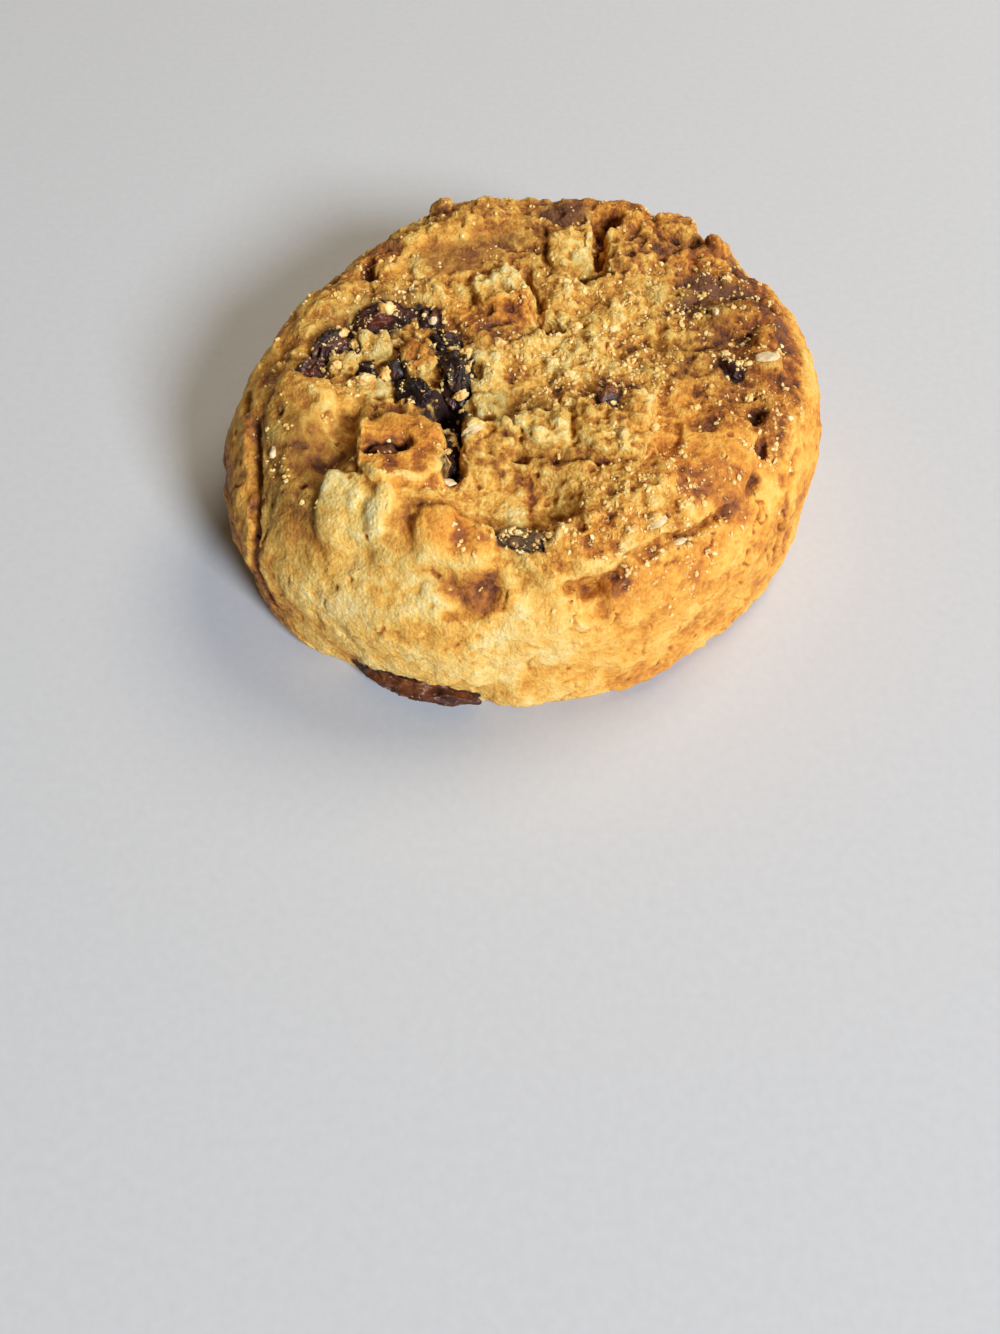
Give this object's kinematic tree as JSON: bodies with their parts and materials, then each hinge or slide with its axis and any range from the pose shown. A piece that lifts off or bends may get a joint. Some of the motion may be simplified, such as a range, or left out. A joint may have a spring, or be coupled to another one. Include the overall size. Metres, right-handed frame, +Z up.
{
  "type": "oatmeal raisin cookie",
  "caption": "Thick round oatmeal cookie with a torn, lumpy golden top, folded seams round its shoulder, a flat base and dark raisins pressed into its top and foot.",
  "frame": {"origin": "middle of the bottom of the cookie's box, on the surface that the cookie rests on", "axes": "+Z up; the picture looks along +Y, with +X to the right"},
  "size_m": [0.0722, 0.0694, 0.0263],
  "materials": {
    "dough": "dry crumbly baked dough, pale gold, browned in patches",
    "raisin": "wrinkled near-black raisin skin with a soft gloss"
  },
  "bodies": {
    "root": {"dough": "dough", "raisin_west": "raisin", "raisin_west_end": "raisin", "raisin_north": "raisin", "raisin_north_end": "raisin", "raisin_inner": "raisin", "raisin_arm": "raisin", "raisin_east": "raisin", "raisin_crevice": "raisin", "raisin_gap": "raisin", "raisin_gap_west": "raisin", "raisin_basin": "raisin", "raisin_right": "raisin", "raisin_centre": "raisin", "raisin_lip": "raisin", "raisin_foot": "raisin"}
  },
  "joints": []
}
